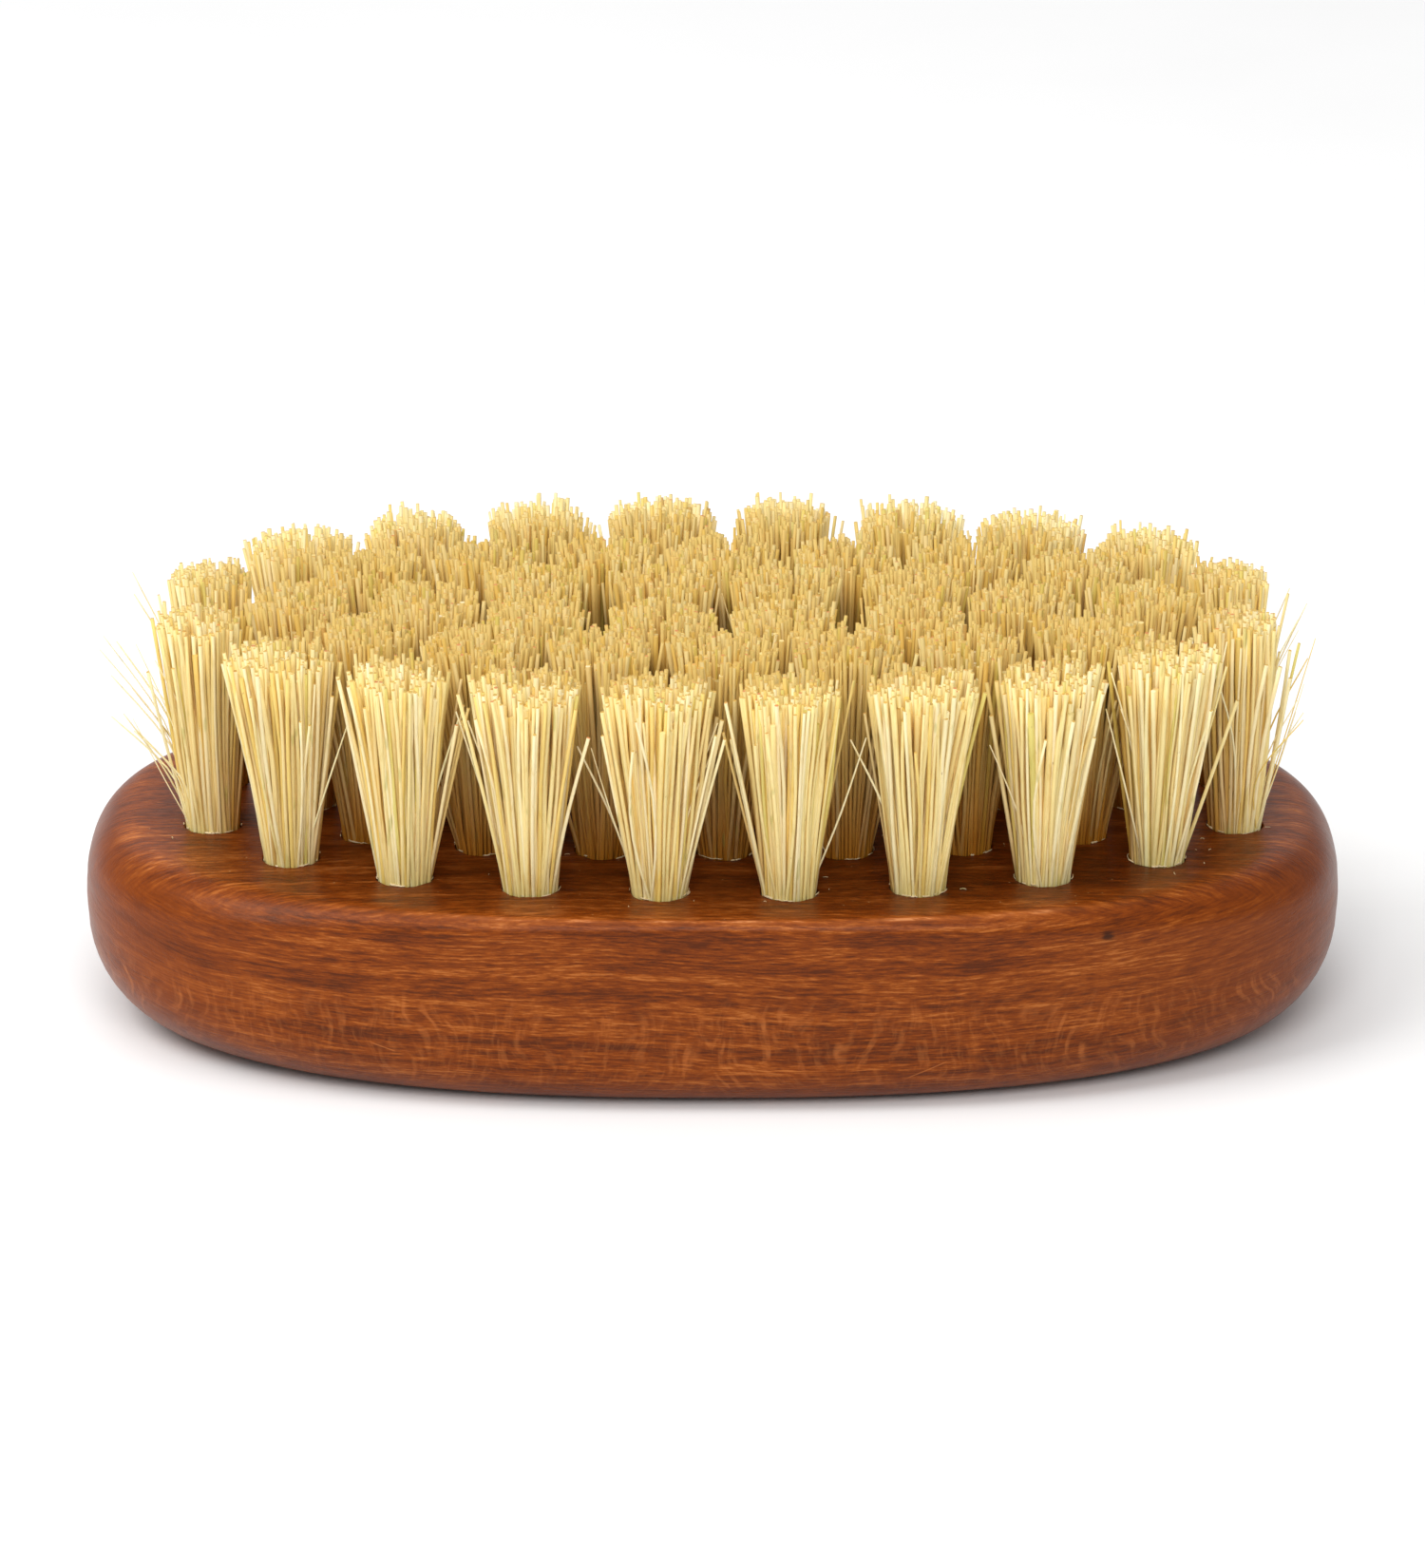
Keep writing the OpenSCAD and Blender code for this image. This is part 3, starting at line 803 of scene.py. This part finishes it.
def build_loose():
    """The wide strays at the two ends and the fine hairs between tufts."""
    rng = np.random.default_rng(77)
    k = 14
    paths, radii = [], []
    by = {t.i: t for t in tufts}

    def near(x, y):
        return min(tufts, key=lambda t: (t.base[0] - x * MM) ** 2 + (t.base[1] - y * MM) ** 2)

    # Fans of strays at the ends, splayed outward.
    for (bx, by_, n, sx, far) in ((-43.6, -5.4, 11, -1, 7.6), (45.6, -5.4, 7, 1, 6.0), (-43.6, 5.4, 4, -1, 6.0), (45.6, 5.4, 4, 1, 5.0)):
        t = near(bx, by_)
        for _ in range(n):
            a = rng.uniform(-0.7, 0.7)
            start = t.base + (t.root_r - 0.25 * MM) * np.array([sx * math.cos(a), math.sin(a)])
            reach = rng.uniform(2.4, far) * MM
            height = rng.uniform(8.5, 19.4) * MM
            side = rng.normal(0, 2.2) * MM
            curve = rng.uniform(-0.2, 2.0) * MM
            end = np.array([start[0] + sx * reach, start[1] + side, TOP + height])
            mid = (np.array([*start, TOP]) + end) / 2 + np.array([-sx * curve, rng.normal(0, 0.3) * MM, 0])
            q = spline([[*start, TOP - 1.2 * MM], [*start, TOP], mid, end], k)
            paths.append(q)
            radii.append(rng.uniform(0.055, 0.10) * MM)
    # Fibres that cross between neighbours in the front row.
    front = sorted([t for t in tufts if t.base[1] < -4 * MM and t.i <= 20], key=lambda t: t.base[0])
    for a, b in zip(front[:-1], front[1:]):
        for _ in range(int(rng.integers(2, 5))):
            p, o = (a, b) if rng.random() < 0.5 else (b, a)
            d = (o.base - p.base) / np.linalg.norm(o.base - p.base)
            perp = np.array([-d[1], d[0]])
            if perp[1] > 0:
                perp = -perp
            start = p.base + (p.root_r - 0.3 * MM) * (d * rng.uniform(0.5, 0.9) + perp * rng.uniform(0.0, 0.5))
            reach = rng.uniform(2.6, 5.6) * MM
            height = rng.uniform(12.5, 18.6) * MM
            end = np.array([*(start + d * reach + perp * rng.uniform(0.2, 1.6) * MM), TOP + height])
            mid = (np.array([*start, TOP]) + end) / 2 + np.array([*(perp * rng.uniform(0, 0.8) - d * rng.uniform(-0.3, 0.9)), 0]) * MM
            paths.append(spline([[*start, TOP - 1.2 * MM], [*start, TOP], mid, end], k))
            radii.append(rng.uniform(0.075, 0.13) * MM)
    # Fine bent hairs near the feet of the tufts.
    for t in tufts:
        for _ in range(int(rng.random() < 0.38)):
            a = rng.uniform(0, 2 * math.pi)
            d = np.array([math.cos(a), math.sin(a)])
            e = np.array([-d[1], d[0]]) * rng.choice([-1, 1])
            s0 = t.base + d * (t.root_r - 0.1 * MM)
            l = rng.uniform(1.6, 4.6) * MM
            up = rng.uniform(0.5, 5.0) * MM
            pts = [[*s0, TOP - 0.6 * MM], [*(s0 + d * 0.15 * MM), TOP + 0.4 * MM],
                   [*(s0 + d * l * 0.5 + e * rng.uniform(-0.4, 0.6) * MM), TOP + up],
                   [*(s0 + d * l + e * rng.uniform(-1.2, 1.2) * MM), TOP + up * rng.uniform(0.15, 1.3) + 0.2 * MM]]
            paths.append(spline(pts, k))
            radii.append(rng.uniform(0.045, 0.075) * MM)
    paths = np.array(paths)
    paths[:, :, 0] = np.clip(paths[:, :, 0], CAD_LO.x - 0.6 * MM, CAD_HI.x + 0.6 * MM)
    paths[:, :, 1] = np.clip(paths[:, :, 1], CAD_LO.y - 0.4 * MM, CAD_HI.y + 0.4 * MM)
    n = len(paths)
    c, tip = fibre_colours(rng, n, 0.82)
    radii = np.array(radii)
    cells = int(math.ceil(math.sqrt(n)))
    part = tubes(paths, np.stack([radii, radii * 0.85], 1), 6, rng.uniform(0, np.pi, n), cells, shade_along(c), tip, ([0, 0.75, 1], [1, 0.95, 0.62]))
    mesh = fibre_mesh("stray_fibres", [part], fibre)
    return new_object("stray_fibres", mesh)


def build_rims():
    """Torn fibre and lacquer round the mouths of the holes."""
    rng = np.random.default_rng(5)
    k = 9
    paths, radii = [], []
    for t in tufts:
        for _ in range(int(rng.integers(7, 13))):
            a0 = rng.uniform(0, 2 * math.pi)
            span = rng.uniform(0.10, 0.62)
            r = HOLE_R + rng.uniform(-0.06, 0.16) * MM
            a = a0 + np.linspace(0, span, k)
            rad = r + rng.normal(0, 0.035, k).cumsum() * 0.4 * MM
            z = TOP + rng.uniform(0.02, 0.10) * MM + np.abs(rng.normal(0, 0.03, k)) * MM
            paths.append(np.stack([t.base[0] + rad * np.cos(a), t.base[1] + rad * np.sin(a), z], 1))
            radii.append(rng.uniform(0.035, 0.085) * MM)
    # Lint on the face between the tufts.
    for _ in range(90):
        t = tufts[int(rng.integers(0, len(tufts)))]
        a, r = rng.uniform(0, 2 * math.pi), rng.uniform(2.8, 5.2) * MM
        c = t.base + r * np.array([math.cos(a), math.sin(a)])
        if (abs(c[0]) / HALF_L) ** POWER + (abs(c[1]) / HALF_W) ** POWER > 0.80:
            continue
        if min(np.hypot(*(c - o.base)) for o in tufts) < 2.75 * MM:
            continue
        d = rng.uniform(0, math.pi)
        l = rng.uniform(0.12, 0.6) * MM
        f = np.linspace(-0.5, 0.5, k)
        bend = rng.uniform(-0.12, 0.12) * MM
        x = c[0] + l * f * math.cos(d) - bend * (1 - 4 * f ** 2) * math.sin(d)
        y = c[1] + l * f * math.sin(d) + bend * (1 - 4 * f ** 2) * math.cos(d)
        paths.append(np.stack([x, y, TOP + 0.03 * MM + 0.04 * MM * (1 - 4 * f ** 2)], 1))
        radii.append(rng.uniform(0.022, 0.045) * MM)
    paths = np.array(paths)
    n = len(paths)
    c = np.array(lin(226, 206, 164))[None] * (1 + rng.normal(0, 0.08, (n, 1)))
    radii = np.array(radii)
    cells = int(math.ceil(math.sqrt(n)))
    part = tubes(paths, np.stack([radii, radii * 0.7], 1), 5, rng.uniform(0, np.pi, n), cells, lambda s: c[:, None, :] * np.ones((1, len(s), 1)), c, ([0, 0.15, 0.85, 1], [0.35, 1, 1, 0.35]))
    mesh = fibre_mesh("rim_lint", [part], fibre)
    return new_object("rim_lint", mesh)


block = build_block()
for t in tufts:
    build_tuft(t)
build_loose()
build_rims()

anchors = nodes["anchors"]
anchors.data.materials.clear()
anchors.data.materials.append(steel)

# ---------------------------------------------------------------- floor, light, camera

floor_mesh = bpy.data.meshes.new("floor")
bm = bmesh.new()
bmesh.ops.create_circle(bm, cap_ends=True, segments=96, radius=6.0)
bm.to_mesh(floor_mesh)
bm.free()
floor = bpy.data.objects.new("floor", floor_mesh)
floor.location.z = -0.0002
scene.collection.objects.link(floor)
floor_mesh.materials.append(floor_material())


def area(name, at, to, size_x, size_y, watts, colour=(1, 1, 1)):
    d = bpy.data.lights.new(name, "AREA")
    d.shape = "RECTANGLE"
    d.size, d.size_y = size_x, size_y
    d.energy = watts
    d.color = colour
    o = bpy.data.objects.new(name, d)
    o.location = at
    o.rotation_euler = (Vector(to) - Vector(at)).to_track_quat("-Z", "Y").to_euler()
    scene.collection.objects.link(o)
    return o


area("top_softbox", (-0.10, -0.10, 1.15), (0, 0, 0.02), 1.0, 0.7, 3.2)
area("key_left", (-0.75, -0.30, 0.98), (0, 0, 0.02), 0.66, 0.66, 7.0)
sheen = area("sheen_left", (-0.90, -0.66, 0.50), (-0.04, -0.02, 0.012), 0.34, 0.26, 2.7)
area("fill_front", (0.00, -1.15, 1.00), (0, 0, 0.02), 0.9, 0.7, 9.8)
area("back_glow", (0.0, 1.9, 1.1), (0, 1.1, 0.0), 2.4, 0.8, 4.4)
# The low light is a small reflector for the lacquer: it lights only the wood.
lacquer = bpy.data.collections.new("lit_by_sheen")
lacquer.objects.link(bpy.data.objects["wooden_block"])
sheen.light_linking.receiver_collection = lacquer

world = bpy.data.worlds.new("studio")
world.use_nodes = True
bg = world.node_tree.nodes["Background"]
bg.inputs[0].default_value = (1, 1, 1, 1)
bg.inputs[1].default_value = 0.43
scene.world = world
scene.view_settings.view_transform = "Standard"
# Light that works its way between pale fibres takes many bounces.
scene.cycles.diffuse_bounces = 12
scene.cycles.max_bounces = 16

# The camera: 20.5 degrees above, 615 mm away, framed on a 1500 x 1650 picture.
ELEV, DIST, SCALE = math.radians(20.6), 0.605, 11.95  # SCALE: pixels a millimetre at the target
CX, CY = 750.0, 847.5  # where the target lies in the picture
target = Vector((0, 0, 17.0 * MM))
cam_data = bpy.data.cameras.new("camera")
cam_data.sensor_fit = "VERTICAL"
cam_data.sensor_height = 36.0
cam_data.sensor_width = 36.0
cam_data.lens = SCALE * DIST / MM / 1650.0 * 36.0
cam = bpy.data.objects.new("camera", cam_data)
back = Vector((0, -math.cos(ELEV), math.sin(ELEV)))
cam.location = target + back * DIST
cam.rotation_euler = (-back).to_track_quat("-Z", "Y").to_euler()
cam_data.shift_x = 0.0
cam_data.shift_y = (CY - 825.0) / 1650.0
cam_data.clip_start = 0.01
cam_data.clip_end = 50.0
scene.collection.objects.link(cam)
scene.camera = cam
